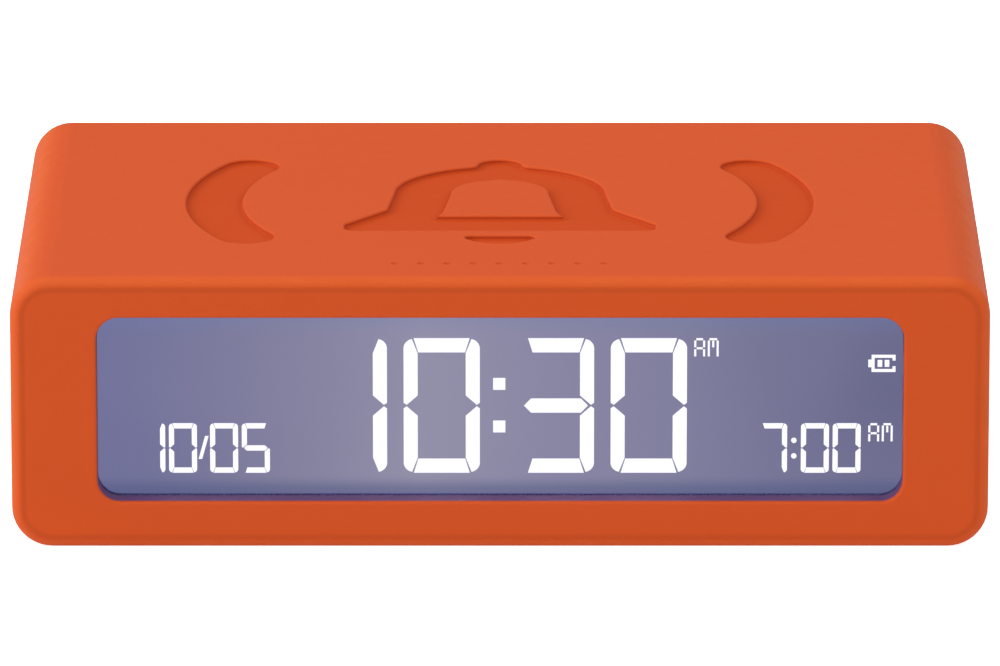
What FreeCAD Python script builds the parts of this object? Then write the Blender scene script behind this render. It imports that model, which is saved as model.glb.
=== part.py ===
import FreeCAD, Part
import math
import os

# Reversible travel alarm clock: a soft rubber sleeve over a plastic case, with an LCD behind a window in the
# front, push buttons, a charging socket and a speaker at the rear. Turning it over switches the alarm off.
#
# Frame: millimetres, +X to the viewer's right, +Y from the display to the rear, +Z up.
# The origin is the centre of the bottom face, on the surface that the clock stands on.

Vec = FreeCAD.Vector

# ---------------------------------------------------------------- driving dimensions
WIDTH = 82.0            # overall size along X
DEPTH = 53.0            # overall size along Y
HEIGHT = 23.5           # overall size along Z
CORNER_R = 3.4          # corners of the outline seen from the front
EDGE_R = 1.0            # rounded edges round the front and rear
SKIN = 1.5              # thickness of the rubber sleeve
FRONT_SKIN = 1.2        # its thickness round the window
CASE_WALL = 1.3         # side walls of the inner case
CASE_FRONT = 1.2        # front wall of the inner case
GAP = 0.05              # assembly gap between mating pieces

WINDOW_W = 67.6         # opening in the front
WINDOW_H = 16.0
WINDOW_R = 1.9
WINDOW_RISE = 0.3       # the opening sits this much above mid height
WINDOW_FIT = 0.04       # gap all round between the window and its opening
WINDOW_SINK = 0.15      # the window lies this far behind the sleeve's front
WINDOW_REBATE = 0.6     # pocket behind the case's front wall for the window's flange

ICON_DEPTH = 0.42       # recessed signs on the top and bottom faces
ICON_RIM_R = 0.2        # rounding at the rim and the floor of a recess, which leaves a soft slope
ICON_SPAN = 53.7        # width of the alarm-on sign
ICON_HEIGHT = 28.0      # its size from front to rear
ICON_STROKE = 4.8
ICON_Y = -1.1           # middle of the sign

BUTTON_PITCH = 9.5
BUTTON_W = 7.0
BUTTON_H = 4.0
BUTTON_TRAVEL = 0.4
BUTTON_FIT = 0.1        # gap all round between a key and its hole
BUTTON_SIGN = 0.2       # depth of the sign in a key's face
FIRST_BUTTON_X = -27.0
USB_X = 12.0
USB_W = 8.94            # outside of the charging socket's shell
USB_H = 3.26
USB_WALL = 0.32
SPEAKER_X = 25.0
SPEAKER_R = 7.0
GRILLE_R = 0.5          # each hole of the speaker's grille
GRILLE_PITCH = 2.1

BALL_R = 1.5            # steel ball of the tilt switch
TILT_X = -27.5

# ---------------------------------------------------------------- places worked out from them
MID_Z = HEIGHT / 2
WINDOW_Z = MID_Z + WINDOW_RISE
FRONT_Y = -DEPTH / 2
REAR_Y = DEPTH / 2

CASE_W = WIDTH - 2 * SKIN - 2 * GAP
CASE_H = HEIGHT - 2 * SKIN - 2 * GAP
CASE_R = CORNER_R - SKIN - GAP
ROOM_W = CASE_W - 2 * CASE_WALL
ROOM_H = CASE_H - 2 * CASE_WALL
ROOM_R = CASE_R - CASE_WALL
FLOOR_Z = MID_Z - ROOM_H / 2
CEILING_Z = MID_Z + ROOM_H / 2
CASE_FRONT_Y = FRONT_Y + FRONT_SKIN + GAP
ROOM_FRONT_Y = CASE_FRONT_Y + CASE_FRONT

COVER_SINK = 0.8        # the rear cover lies this far inside the sleeve's rim
COVER_T = 1.5
COVER_OUT_Y = REAR_Y - COVER_SINK
COVER_IN_Y = COVER_OUT_Y - COVER_T
CASE_REAR_Y = COVER_IN_Y - GAP
BUTTON_FACE_Y = COVER_OUT_Y + 0.6

# Layers of the display, front to rear: each name is the plane where that layer begins.
TAPE_Y = ROOM_FRONT_Y - WINDOW_REBATE
FLANGE_Y = TAPE_Y + 0.1
GASKET_Y = FLANGE_Y + 0.5
FRONT_POLARISER_Y = GASKET_Y + 0.3
FRONT_GLASS_Y = FRONT_POLARISER_Y + 0.2
SEGMENT_Y = FRONT_GLASS_Y + 0.55
REAR_GLASS_Y = SEGMENT_Y + 0.05
REAR_POLARISER_Y = REAR_GLASS_Y + 0.55
DIFFUSER_Y = REAR_POLARISER_Y + 0.2
GUIDE_Y = DIFFUSER_Y + 0.15
REFLECTOR_Y = GUIDE_Y + 1.8
TRAY_BACK_Y = REFLECTOR_Y + 0.15
BOARD_Y = TRAY_BACK_Y + 0.8
BOARD_T = 1.0
BOARD_BACK_Y = BOARD_Y + BOARD_T

FLANGE_W = 71.8
FLANGE_H = 17.6
GLASS_W = 74.8          # front glass, with a contact ledge at each end
GLASS_H = 17.0
CELL_W = 69.4           # rear glass and the layers behind it
LED_X = CELL_W / 2 - 1.75
LED_T = 1.0
LED_W = 3.0
ZEBRA_X = 36.2
ZEBRA_W = 1.9
ZEBRA_H = 10.4
MODULE_SCREW_X = 36.3
MODULE_SCREW_RISE = 7.0

REAR_BOARD_X0 = -32.8
REAR_BOARD_X1 = 17.0
REAR_BOARD_H = 16.4
REAR_BOARD_BACK_Y = COVER_IN_Y - 3.4
REAR_BOARD_Y = REAR_BOARD_BACK_Y - BOARD_T
POST_XS = (-29.5, 5.0)
POST_RISE = 6.0
POST_R = 1.65           # posts in the rear cover that carry the rear board
CASE_SCREW_X = 35.3
CASE_SCREW_RISE = 6.4
CASE_SCREW_SEAT = 1.0   # depth of the counterbore under its head
BOSS_R = 2.3
SNAP_X = 24.0           # hooks that hold the display module
CRADLE_T = 0.8          # ribs at both ends of the cell

# Screws as head radius, head height, thread radius and length.
CASE_SCREW = (1.8, 0.85, 1.0, 7.0)
MODULE_SCREW = (1.25, 0.8, 0.7, 3.9)
REAR_BOARD_SCREW = (1.4, 0.8, 0.8, 3.8)
THREAD_FIT = 0.03       # a pilot hole is this much wider than the thread, in radius

TACT_BODY = 4.5
TACT_T = 1.6
PLUNGER_R = 1.2
PLUNGER_OUT = 0.5
PLUNGER_TIP_Y = REAR_BOARD_BACK_Y + TACT_T + PLUNGER_OUT
PLUNGER_FOOT_Y = REAR_BOARD_BACK_Y + 1.0

BATTERY_W = 38.0
BATTERY_Y0 = -11.0
BATTERY_Y1 = 11.0
BATTERY_T = 5.2
FOIL_T = 0.1
FOIL_GLUE = 0.03
PAD_T = 0.3
BATTERY_Z = FLOOR_Z + 0.15 + PAD_T
FOIL_W = 36.0
FOIL_D = 24.0

RIBBON_X = -20.0
RIBBON_Z = 13.7
RIBBON_W = 8.0
RIBBON_T = 0.2
CONNECTOR_T = 1.8

BUTTONS = ("clock_button", "alarm_button", "minus_button", "plus_button")


# ---------------------------------------------------------------- shared shapes
def box(x0, x1, y0, y1, z0, z1):
    """A block given by its two limits along each axis."""
    return Part.makeBox(x1 - x0, y1 - y0, z1 - z0, Vec(x0, y0, z0))


def block(x, z, width, height, y0, y1):
    """A block centred on (x, z), from y0 back to y1."""
    return box(x - width / 2, x + width / 2, y0, y1, z - height / 2, z + height / 2)


def edges_where(shape, test):
    """The edges whose every vertex passes the test."""
    return [edge for edge in shape.Edges if all(test(v.Point) for v in edge.Vertexes)]


def slab(width, height, radius, y0, y1, x=0.0, z=MID_Z):
    """A plate lying in the XZ plane with rounded corners, from y0 back to y1."""
    plate = block(x, z, width, height, y0, y1)
    along = [e for e in plate.Edges if abs(e.Vertexes[0].Y - e.Vertexes[-1].Y) > 1e-6]
    return plate.makeFillet(radius, along)


def rod(x, z, radius, y0, y1):
    """A round bar along Y."""
    return Part.makeCylinder(radius, y1 - y0, Vec(x, y0, z), Vec(0, 1, 0))


def pill(width, height, y0, y1, x):
    """A plate at mid height with half-round ends, from y0 back to y1."""
    r = height / 2
    half = width / 2 - r
    above = MID_Z + r
    below = MID_Z - r

    def end(side):
        low = Vec(x + side * half, y0, below)
        high = Vec(x + side * half, y0, above)
        return low, Vec(x + side * (half + r), y0, MID_Z), high

    right = end(1)
    left = end(-1)
    edges = [Part.makeLine(left[0], right[0]), Part.Arc(*right).toShape(),
             Part.makeLine(right[2], left[2]), Part.Arc(*reversed(left)).toShape()]
    return Part.Face(Part.Wire(edges)).extrude(Vec(0, y1 - y0, 0))


def both_ways(place):
    """The place and its mirror images across X and across mid height, as (x, z)."""
    x, rise = place
    return [(sx * x, MID_Z + sz * rise) for sx in (-1, 1) for sz in (-1, 1)]


def swept_wire(points, radius, leaves, arrives):
    """A round wire along a smooth curve through the points, square to the surfaces at both ends."""
    curve = Part.BSplineCurve()
    curve.interpolate(Points=[Vec(*p) for p in points], InitialTangent=Vec(0, leaves, 0),
                      FinalTangent=Vec(0, arrives, 0))
    path = Part.Wire(curve.toShape())
    start = curve.value(curve.FirstParameter)
    heading = curve.tangent(curve.FirstParameter)[0]
    profile = Part.Wire(Part.makeCircle(radius, start, heading))
    return path.makePipeShell([profile], True, False)


def tapping_screw(x, z, head_y, facing, head_r, head_t, shank_r, length):
    """A cross-headed self-tapping screw. Its head seats at head_y and faces +Y (facing 1) or -Y (-1)."""
    pitch = shank_r * 0.7
    root_r = shank_r * 0.74
    outline = [Vec(0, 0, head_t), Vec(head_r * 0.8, 0, head_t), Vec(head_r, 0, head_t * 0.6)]
    outline += [Vec(head_r, 0, 0), Vec(root_r, 0, 0)]
    depth = pitch
    while depth < length - 1.5 * pitch:
        outline += [Vec(root_r, 0, -depth), Vec(shank_r, 0, -depth - pitch / 2)]
        outline += [Vec(root_r, 0, -depth - pitch)]
        depth += pitch
    outline += [Vec(root_r * 0.9, 0, -length + pitch / 2), Vec(0, 0, -length)]
    distinct = [outline[0]] + [b for a, b in zip(outline, outline[1:]) if a.distanceToPoint(b) > 1e-6]
    face = Part.Face(Part.makePolygon(distinct + [distinct[0]]))
    screw = face.revolve(Vec(0, 0, 0), Vec(0, 0, 1), 360)
    slot_w = head_r * 0.26
    slot_l = head_r * 1.2
    slot_t = head_t * 0.6
    for across in (0, 90):
        slot = Part.makeBox(slot_l, slot_w, slot_t + 1, Vec(-slot_l / 2, -slot_w / 2, head_t - slot_t))
        slot.rotate(Vec(0, 0, 0), Vec(0, 0, 1), across)
        screw = screw.cut(slot)
    screw.rotate(Vec(0, 0, 0), Vec(1, 0, 0), -90 * facing)
    screw.translate(Vec(x, head_y, z))
    return screw


# ---------------------------------------------------------------- recessed signs
def smooth_outline(face, radius):
    """The same flat shape with its inner and outer corners rounded."""
    for step in (radius, -2 * radius, radius):
        face = face.makeOffset2D(step)
    return face


def disc(x, y, radius):
    """A flat disc in the XY plane."""
    return Part.Face(Part.Wire(Part.makeCircle(radius, Vec(x, y, 0))))


def polygon(points):
    """A flat shape in the XY plane with straight sides."""
    corners = [Vec(x, y, 0) for x, y in points]
    return Part.Face(Part.makePolygon(corners + [corners[0]]))


def stadium(length, width, turn):
    """A flat bar with round ends, centred on the origin and turned by so many degrees."""
    half = length / 2 - width / 2
    bar = polygon([(-half, -width / 2), (half, -width / 2), (half, width / 2), (-half, width / 2)])
    shape = bar.fuse([disc(-half, 0, width / 2), disc(half, 0, width / 2)]).removeSplitter()
    shape.rotate(Vec(0, 0, 0), Vec(0, 0, 1), turn)
    return shape.Faces[0]


def bell_body():
    """Outline of a bell without its clapper: dome, waist and flared foot."""
    half = ICON_HEIGHT / 2
    dome_r = 9.0
    dome_y = half - 2.2 - dome_r
    foot_y = -half + 4.2
    waist = [(-dome_r, dome_y), (-dome_r - 0.6, dome_y - 5.6), (-dome_r - 4.2, foot_y + 2.2)]
    waist += [(-dome_r - 4.2, foot_y)]
    outline = waist + [(-x, y) for x, y in reversed(waist)]
    knob = disc(0, half - 1.9, 1.9)
    body = polygon(outline).fuse([disc(0, dome_y, dome_r), knob]).removeSplitter()
    return smooth_outline(body.Faces[0], 0.9)


def bell_sign():
    """A bell drawn as a broad line, with its clapper below."""
    body = bell_body()
    island = body.makeOffset2D(-ICON_STROKE)
    half = ICON_HEIGHT / 2
    clapper_r = 3.3
    below = polygon([(-9, -half - 1), (9, -half - 1), (9, -half + 2.6), (-9, -half + 2.6)])
    clapper = smooth_outline(disc(0, -half + clapper_r, clapper_r).common(below).Faces[0], 0.6)
    return [body.cut(island), clapper]


def ringing_arc(side):
    """A broad arc with round ends beside the bell, concave towards it."""
    half = ICON_STROKE / 2
    reach = ICON_SPAN / 2 - half
    tilt = math.asin((ICON_HEIGHT / 2 - half) / reach)

    def at(radius, angle):
        return Vec(side * radius * math.cos(angle), radius * math.sin(angle), 0)

    def cap_tip(angle):
        outward = math.copysign(half, angle)
        return at(reach, angle) + Vec(-side * math.sin(angle), math.cos(angle), 0) * outward

    arcs = []
    for start, through, end in ((at(reach + half, -tilt), at(reach + half, 0), at(reach + half, tilt)),
                                (at(reach + half, tilt), cap_tip(tilt), at(reach - half, tilt)),
                                (at(reach - half, tilt), at(reach - half, 0), at(reach - half, -tilt)),
                                (at(reach - half, -tilt), cap_tip(-tilt), at(reach + half, -tilt))):
        arcs.append(Part.Arc(start, through, end).toShape())
    return Part.Face(Part.Wire(arcs))


def alarm_on_sign():
    """A ringing bell."""
    return bell_sign() + [ringing_arc(-1), ringing_arc(1)]


def alarm_off_sign():
    """A bell struck out by a slanting bar, with a clear margin on both sides of the bar."""
    slash_w = ICON_STROKE * 0.75
    clear = 1.5
    slash = stadium(ICON_HEIGHT * 1.3, slash_w, 45)
    margin = stadium(ICON_HEIGHT * 1.5, slash_w + 2 * clear, 45)
    cut_bell = []
    for shape in bell_sign():
        cut_bell += [smooth_outline(face, 0.4) for face in shape.cut(margin).Faces if face.Area > 4.0]
    return cut_bell + [slash]


def touch_dots(surface_z, outward):
    """A row of small dimples near the front edge that marks the touch area."""
    dots = []
    dot_r = 0.5
    sunk = 0.18
    pitch = 2.2
    behind_front = 4.9
    for step in range(-4, 5):
        centre = Vec(step * pitch, FRONT_Y + behind_front, surface_z + outward * (dot_r - sunk))
        dots.append(Part.makeSphere(dot_r, centre))
    return dots


def sink_signs(body, signs, surface_z, outward):
    """Cuts the signs into a horizontal face, with a rounded rim and floor."""
    floor_z = surface_z - outward * ICON_DEPTH
    for sign in signs:
        cutter = sign.copy()
        cutter.translate(Vec(0, ICON_Y, floor_z))
        body = body.cut(cutter.extrude(Vec(0, 0, outward * (ICON_DEPTH + 1))))

    def in_sign_area(point):
        inside = abs(point.x) < ICON_SPAN / 2 + 1 and abs(point.y - ICON_Y) < ICON_HEIGHT / 2 + 3
        return inside and (abs(point.z - floor_z) < 1e-4 or abs(point.z - surface_z) < 1e-4)

    level = [e for e in edges_where(body, in_sign_area) if e.BoundBox.ZLength < 1e-4]
    return body.makeFillet(ICON_RIM_R, level)


# ---------------------------------------------------------------- casing
def rubber_sleeve():
    body = slab(WIDTH, HEIGHT, CORNER_R, FRONT_Y, REAR_Y)
    ends = edges_where(body, lambda p: abs(abs(p.y) - DEPTH / 2) < 1e-6)
    body = body.makeFillet(EDGE_R, [e for e in ends if e.BoundBox.YLength < 1e-6])
    cavity = slab(WIDTH - 2 * SKIN, HEIGHT - 2 * SKIN, CORNER_R - SKIN, FRONT_Y + FRONT_SKIN, REAR_Y + 1)
    opening = slab(WINDOW_W, WINDOW_H, WINDOW_R, FRONT_Y - 1, FRONT_Y + SKIN + 1, z=WINDOW_Z)
    body = body.cut(cavity).cut(opening)

    def on_opening(point):
        at_front = abs(point.y - FRONT_Y) < 1e-6
        return at_front and abs(point.x) < WINDOW_W / 2 + 0.1 and abs(point.z - WINDOW_Z) < WINDOW_H / 2 + 0.1

    body = body.makeFillet(0.25, edges_where(body, on_opening))
    body = sink_signs(body, alarm_on_sign(), HEIGHT, 1)
    flipped = []
    for sign in alarm_off_sign():
        turned = sign.copy()
        turned.rotate(Vec(0, 0, 0), Vec(0, 1, 0), 180)
        flipped.append(turned)
    body = sink_signs(body, flipped, 0.0, -1)
    for dot in touch_dots(HEIGHT, 1) + touch_dots(0.0, -1):
        body = body.cut(dot)
    return body


def inner_case():
    shell = slab(CASE_W, CASE_H, CASE_R, CASE_FRONT_Y, CASE_REAR_Y)
    room = slab(ROOM_W, ROOM_H, ROOM_R, ROOM_FRONT_Y, CASE_REAR_Y + 1)
    opening = slab(WINDOW_W, WINDOW_H, WINDOW_R, CASE_FRONT_Y - 1, ROOM_FRONT_Y + 1, z=WINDOW_Z)
    rebate = slab(FLANGE_W + 0.1, FLANGE_H + 0.1, 1.2, TAPE_Y, ROOM_FRONT_Y + 1)
    case = shell.cut(room).cut(opening).cut(rebate)
    boss_y = CASE_REAR_Y - 12.0
    pilot_r = CASE_SCREW[2] + THREAD_FIT
    for x, z in both_ways((CASE_SCREW_X, CASE_SCREW_RISE)):
        boss = rod(x, z, BOSS_R, boss_y, CASE_REAR_Y)
        web_x = math.copysign(ROOM_W / 2, x)
        web = box(min(x, web_x), max(x, web_x), boss_y, CASE_REAR_Y, z - 0.5, z + 0.5)
        case = case.fuse([boss, web])
    for x, z in both_ways((CASE_SCREW_X, CASE_SCREW_RISE)):
        case = case.cut(rod(x, z, pilot_r, CASE_REAR_Y - 8.0, CASE_REAR_Y + 1))
    for x in (-SNAP_X, SNAP_X):
        case = case.fuse([snap_hook(x, 1), snap_hook(x, -1)])
    beside_cell = 0.2
    for x in (-BATTERY_W / 2 - beside_cell - CRADLE_T, BATTERY_W / 2 + beside_cell):
        case = case.fuse(box(x, x + CRADLE_T, BATTERY_Y0 + 2, BATTERY_Y1 - 2, FLOOR_Z - 0.3, FLOOR_Z + 3.2))
    return case.removeSplitter()


def snap_hook(x, side):
    """A wedge on the ceiling (side 1) or the floor (-1) that holds the display module from behind."""
    width = 6.0
    buried_z = MID_Z + side * (ROOM_H / 2 + 0.3)
    catch_z = MID_Z + side * (ROOM_H / 2 - 0.6)
    base_y = BOARD_BACK_Y + GAP
    left = x - width / 2
    points = [Vec(left, base_y, buried_z), Vec(left, base_y, catch_z), Vec(left, base_y + 0.5, catch_z),
              Vec(left, base_y + 2.2, buried_z)]
    return Part.Face(Part.makePolygon(points + [points[0]])).extrude(Vec(width, 0, 0))


def rear_cover():
    plate = slab(CASE_W, CASE_H, CASE_R, COVER_IN_Y, COVER_OUT_Y)
    rim = [e for e in edges_where(plate, lambda p: abs(p.y - COVER_OUT_Y) < 1e-6)]
    plate = plate.makeFillet(0.35, rim)
    lip_y = COVER_IN_Y - 2.0
    lip_out = slab(ROOM_W - 0.2, ROOM_H - 0.2, ROOM_R, lip_y, COVER_IN_Y)
    lip_in = slab(ROOM_W - 2.2, ROOM_H - 2.2, 0.3, lip_y - 1, COVER_IN_Y + 1)
    lip = lip_out.cut(lip_in)
    for x, z in both_ways((CASE_SCREW_X, CASE_SCREW_RISE)):
        clear_x = x + math.copysign(4.0, x)
        lip = lip.cut(box(min(x, clear_x), max(x, clear_x), lip_y - 1, COVER_IN_Y, z - 0.7, z + 0.7))
        lip = lip.cut(rod(x, z, BOSS_R + 0.15, lip_y - 1, COVER_IN_Y))
    cover = plate.fuse(lip)
    for x in POST_XS:
        for side in (-1, 1):
            z = MID_Z + side * POST_RISE
            cover = cover.fuse(rod(x, z, POST_R, REAR_BOARD_BACK_Y + GAP, COVER_IN_Y))
            pilot_r = REAR_BOARD_SCREW[2] + THREAD_FIT
            cover = cover.cut(rod(x, z, pilot_r, REAR_BOARD_BACK_Y - 1, COVER_IN_Y - 0.2))
    ring = rod(SPEAKER_X, MID_Z, SPEAKER_R + 0.65, COVER_IN_Y - 1.8, COVER_IN_Y)
    cover = cover.fuse(ring.cut(rod(SPEAKER_X, MID_Z, SPEAKER_R + 0.1, COVER_IN_Y - 3, COVER_IN_Y)))
    for x in button_xs():
        hole_w = BUTTON_W + 2 * BUTTON_FIT
        hole_h = BUTTON_H + 2 * BUTTON_FIT
        cover = cover.cut(pill(hole_w, hole_h, COVER_IN_Y - 1, COVER_OUT_Y + 1, x))
    cover = cover.cut(pill(USB_W + 0.4, USB_H + 0.4, COVER_IN_Y - 1, COVER_OUT_Y + 1, USB_X))
    for x, z in grille_holes():
        cover = cover.cut(rod(x, z, GRILLE_R, COVER_IN_Y - 1, COVER_OUT_Y + 1))
    for x, z in both_ways((CASE_SCREW_X, CASE_SCREW_RISE)):
        cover = cover.cut(rod(x, z, CASE_SCREW[2] + 0.15, COVER_IN_Y - 1, COVER_OUT_Y + 1))
        cover = cover.cut(rod(x, z, CASE_SCREW[0] + 0.15, COVER_OUT_Y - CASE_SCREW_SEAT, COVER_OUT_Y + 1))
    return cover


def button_xs():
    return [FIRST_BUTTON_X + i * BUTTON_PITCH for i in range(len(BUTTONS))]


def grille_holes():
    """Centres of the speaker holes: one in the middle and rings of 6 and 12 round it."""
    holes = [(SPEAKER_X, MID_Z)]
    for ring in (1, 2):
        for step in range(6 * ring):
            angle = 2 * math.pi * step / (6 * ring)
            out = ring * GRILLE_PITCH
            holes.append((SPEAKER_X + out * math.cos(angle), MID_Z + out * math.sin(angle)))
    return holes


def rear_cover_screws():
    seat_y = COVER_OUT_Y - CASE_SCREW_SEAT
    spots = both_ways((CASE_SCREW_X, CASE_SCREW_RISE))
    return Part.makeCompound([tapping_screw(x, z, seat_y, 1, *CASE_SCREW) for x, z in spots])


# ---------------------------------------------------------------- window and display
def display_window():
    front_y = FRONT_Y + WINDOW_SINK
    width = WINDOW_W - 2 * WINDOW_FIT
    height = WINDOW_H - 2 * WINDOW_FIT
    boss = slab(width, height, WINDOW_R - WINDOW_FIT, front_y, GASKET_Y, z=WINDOW_Z)
    front = edges_where(boss, lambda p: abs(p.y - front_y) < 1e-6)
    boss = boss.makeFillet(0.2, front)
    flange = slab(FLANGE_W, FLANGE_H, 1.2, FLANGE_Y, GASKET_Y)
    return boss.fuse(flange).removeSplitter()


def window_ring(y0, y1):
    """A flat ring as large as the window's flange, open where the display shows."""
    hole = slab(WINDOW_W, WINDOW_H, WINDOW_R, y0 - 1, y1 + 1, z=WINDOW_Z)
    return slab(FLANGE_W, FLANGE_H, 1.2, y0, y1).cut(hole)


def layer(width, y0, y1, height=GLASS_H):
    """A flat sheet of the display stack."""
    return block(0, MID_Z, width, height, y0, y1)


def lcd_edge_seal():
    """A thin bead of resin between the two glasses, just outside what the window shows."""
    side_w = 0.7
    foot_h = 0.25
    outer = layer(CELL_W, SEGMENT_Y, REAR_GLASS_Y)
    return outer.cut(layer(CELL_W - 2 * side_w, SEGMENT_Y - 1, REAR_GLASS_Y + 1, GLASS_H - 2 * foot_h))


def light_guide():
    """A clear plate that the lamps shine into from its right-hand edge."""
    left = -CELL_W / 2 + 0.2
    right = LED_X - GAP
    return box(left, right, GUIDE_Y, REFLECTOR_Y, MID_Z - GLASS_H / 2, MID_Z + GLASS_H / 2)


def backlight_leds():
    leds = [block(LED_X + LED_T / 2, MID_Z + rise, LED_T, LED_W, GUIDE_Y + 0.1, REFLECTOR_Y - 0.1)
            for rise in (-5.0, 0.0, 5.0)]
    return Part.makeCompound(leds)


def backlight_strip():
    """The narrow board that carries the lamps."""
    left = LED_X + LED_T + GAP
    return box(left, left + 0.5, GUIDE_Y, REFLECTOR_Y, MID_Z - 8.0, MID_Z + 8.0)


def lcd_frame():
    """White tray that holds the glass and the backlight, with slots for the zebra strips."""
    tray = slab(ROOM_W - 0.2, ROOM_H - 0.1, ROOM_R - 0.05, FRONT_GLASS_Y - GAP, BOARD_Y - GAP)
    tray = tray.cut(layer(GLASS_W + 0.1, FRONT_GLASS_Y - 1, SEGMENT_Y, GLASS_H + 0.1))
    tray = tray.cut(layer(CELL_W + 0.2, SEGMENT_Y - 0.1, TRAY_BACK_Y, GLASS_H + 0.1))
    for side in (-1, 1):
        slot = block(side * ZEBRA_X, MID_Z, ZEBRA_W + 0.1, ZEBRA_H + 0.2, SEGMENT_Y - 0.1, BOARD_Y + 1)
        tray = tray.cut(slot)
    for x, z in both_ways((MODULE_SCREW_X, MODULE_SCREW_RISE)):
        tray = tray.cut(rod(x, z, MODULE_SCREW[2] + THREAD_FIT, BOARD_Y - 3.2, BOARD_Y + 1))
    return tray


def zebra_strips():
    strips = [block(s * ZEBRA_X, MID_Z, ZEBRA_W, ZEBRA_H, SEGMENT_Y, BOARD_Y) for s in (-1, 1)]
    return Part.makeCompound(strips)


def display_board():
    board = slab(ROOM_W - 0.5, ROOM_H - 0.4, 1.0, BOARD_Y, BOARD_BACK_Y)
    for x, z in both_ways((MODULE_SCREW_X, MODULE_SCREW_RISE)):
        board = board.cut(rod(x, z, 0.8, BOARD_Y - 1, BOARD_BACK_Y + 1))
    return board


def display_board_screws():
    spots = both_ways((MODULE_SCREW_X, MODULE_SCREW_RISE))
    return Part.makeCompound([tapping_screw(x, z, BOARD_BACK_Y, 1, *MODULE_SCREW) for x, z in spots])


def controller_blob():
    """The main chip, bonded to the board under a low dome of black resin."""
    dome_r = 9.0
    dome_t = 1.4
    x = 8.0
    dome = Part.makeSphere(dome_r, Vec(x, BOARD_BACK_Y + dome_t - dome_r, MID_Z))
    return dome.common(box(x - 10, x + 10, BOARD_BACK_Y, BOARD_BACK_Y + 2 * dome_t, FLOOR_Z, CEILING_Z))


def clock_crystal():
    """A small can that lies on the board, with two thin wires."""
    can_r = 1.0
    can_l = 6.0
    wire_r = 0.15
    wire_l = 2.0
    start = Vec(-9.0, BOARD_BACK_Y + can_r, MID_Z - 4.5)
    along = Vec(1, 0, 0)
    body = Part.makeCylinder(can_r, can_l, start, along)
    shifts = [Vec(-wire_l, 0, side * 0.4) for side in (-1, 1)]
    return body.fuse([Part.makeCylinder(wire_r, wire_l, start + shift, along) for shift in shifts])


def chip_group(places, y_face, direction):
    """Small parts on a board's face: each place is (x, rise above mid height, width, height, thickness)."""
    chips = []
    for x, rise, width, height, thick in places:
        y_far = y_face + direction * thick
        chips.append(block(x, MID_Z + rise, width, height, min(y_face, y_far), max(y_face, y_far)))
    return Part.makeCompound(chips)


def display_board_parts():
    row = [(-30.0 + 2.4 * i, 5.2, 1.6, 0.8, 0.6) for i in range(4)]
    row += [(20.0 + 3.0 * i, -4.8, 2.0, 1.2, 0.8) for i in range(4)]
    row += [(24.0, 3.2, 3.0, 3.0, 1.0), (30.0, 3.2, 1.6, 0.8, 0.6)]
    return chip_group(row, BOARD_BACK_Y, 1)


# ---------------------------------------------------------------- lit figures of the display
def segment(outline, x, z, size):
    """One lit bar. Its outline is in digit heights, from the digit's lower left corner: points, and for a
    rounded corner a triple of points that its arc runs through."""
    def place(point):
        return Vec(x + point[0] * size, SEGMENT_Y, z + point[1] * size)

    edges = []
    ends = [(place(step[0]), place(step[-1])) if isinstance(step[0], tuple) else (place(step),) * 2
            for step in outline]
    for here, step in enumerate(outline):
        if isinstance(step[0], tuple):
            edges.append(Part.Arc(*[place(point) for point in step]).toShape())
        edges.append(Part.makeLine(ends[here][1], ends[(here + 1) % len(outline)][0]))
    face = Part.Face(Part.Wire(edges))
    return face.extrude(Vec(0, REAR_GLASS_Y - SEGMENT_Y, 0))


def mirrored(outline, width):
    """The same bar mirrored left to right in a digit of this width."""
    def turn(step):
        if isinstance(step[0], tuple):
            return tuple((width - px, pz) for px, pz in reversed(step))
        return (width - step[0], step[1])

    return [turn(step) for step in reversed(outline)]


def upended(outline):
    """The same bar mirrored top to bottom in its digit."""
    def turn(step):
        if isinstance(step[0], tuple):
            return tuple((px, 1 - pz) for px, pz in reversed(step))
        return (step[0], 1 - step[1])

    return [turn(step) for step in reversed(outline)]


def digit_bars():
    """The seven bars a to g of a digit one unit tall."""
    width = DIGIT_SHAPE
    bar = DIGIT_BAR
    slant_out = bar * 0.69          # the mitre of the top bar starts here at the outer edge
    side_out = bar * 0.57           # and the side bar ends here, which leaves a fine gap
    tip = bar * 0.21
    top = [(slant_out, 1), (bar, 1 - bar), (width - bar, 1 - bar), (width - slant_out, 1)]
    middle = [(bar * 0.42, 0.5), (bar * 0.9, 0.5 - bar / 2), (width - bar * 0.9, 0.5 - bar / 2),
              (width - bar * 0.42, 0.5), (width - bar * 0.9, 0.5 + bar / 2), (bar * 0.9, 0.5 + bar / 2)]
    corner = ((0, 1 - bar * 0.8), (bar * 0.157, 1 - bar * 0.3), (side_out, 1 - bar * 0.07))
    inner = bar * 0.96
    upper_left = [corner, (inner, 1 - bar * 1.07), (inner, 0.5 + bar * 0.72), (tip, 0.506), (0, 0.521)]
    return {"a": top, "g": middle, "d": upended(top), "f": upper_left, "b": mirrored(upper_left, width),
            "e": upended(upper_left), "c": upended(mirrored(upper_left, width))}


DIGIT_SHAPE = 0.545     # width of a digit of unit height
DIGIT_BAR = 0.105       # thickness of its bars
LIT = {"0": "abcdef", "1": "bc", "3": "abcdg", "5": "acdfg", "7": "abc"}


def number(text, x, z, size, pitch):
    """A row of digits of this size, whose first cell starts at x."""
    bars = digit_bars()
    return [segment(bars[name], x + place * pitch, z, size) for place, figure in enumerate(text)
            for name in LIT[figure]]


def bar_at(x, z, width, height):
    """A plain lit rectangle with its lower left corner at (x, z)."""
    return segment([(0, 0), (width, 0), (width, height), (0, height)], x, z, 1.0)


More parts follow.
